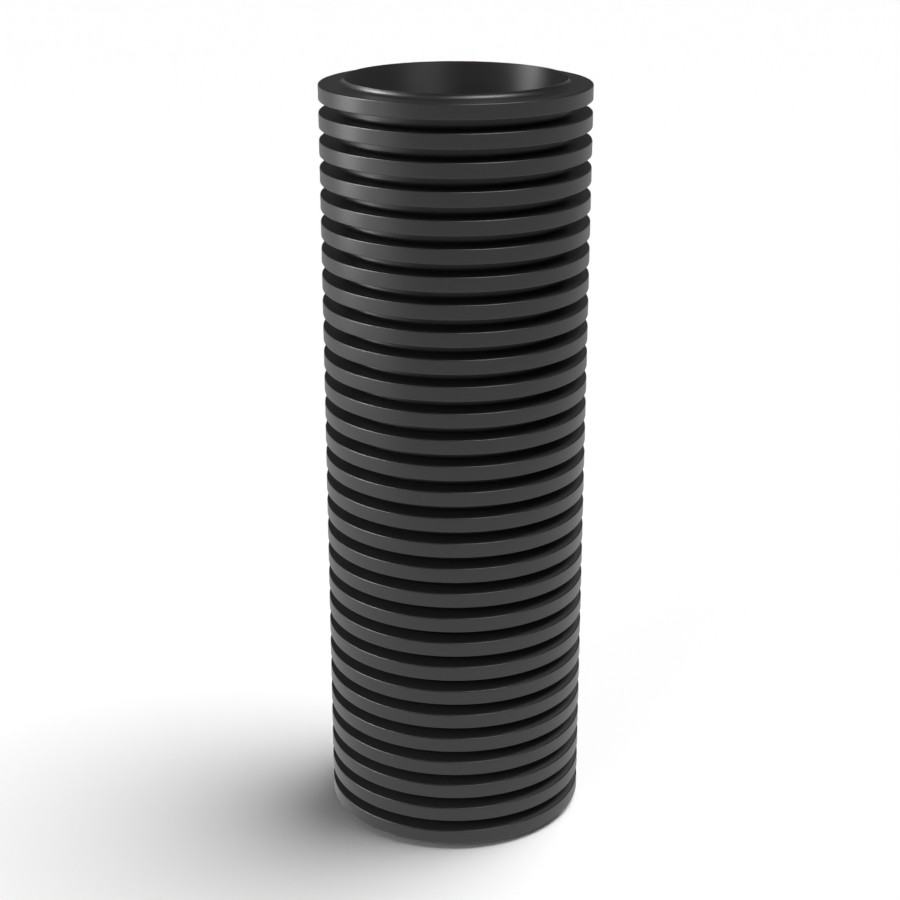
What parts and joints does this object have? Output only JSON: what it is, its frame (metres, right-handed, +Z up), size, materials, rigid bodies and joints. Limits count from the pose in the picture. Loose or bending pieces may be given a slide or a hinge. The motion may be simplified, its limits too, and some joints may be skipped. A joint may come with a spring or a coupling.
{
  "type": "inspection chamber shaft",
  "caption": "Upright ribbed black plastic riser pipe with a smooth straight bore, the shaft of a drainage inspection chamber.",
  "frame": {"origin": "centre of the foot, on the floor that the shaft stands on", "axes": "+Z up along the axis of the bore; the shaft is round, so X and Y are any two directions across it"},
  "size_m": [0.43, 0.43, 1.2499],
  "materials": {
    "black_plastic": "satin"
  },
  "bodies": {
    "root": {"corrugated_shaft": "black_plastic"}
  },
  "joints": []
}
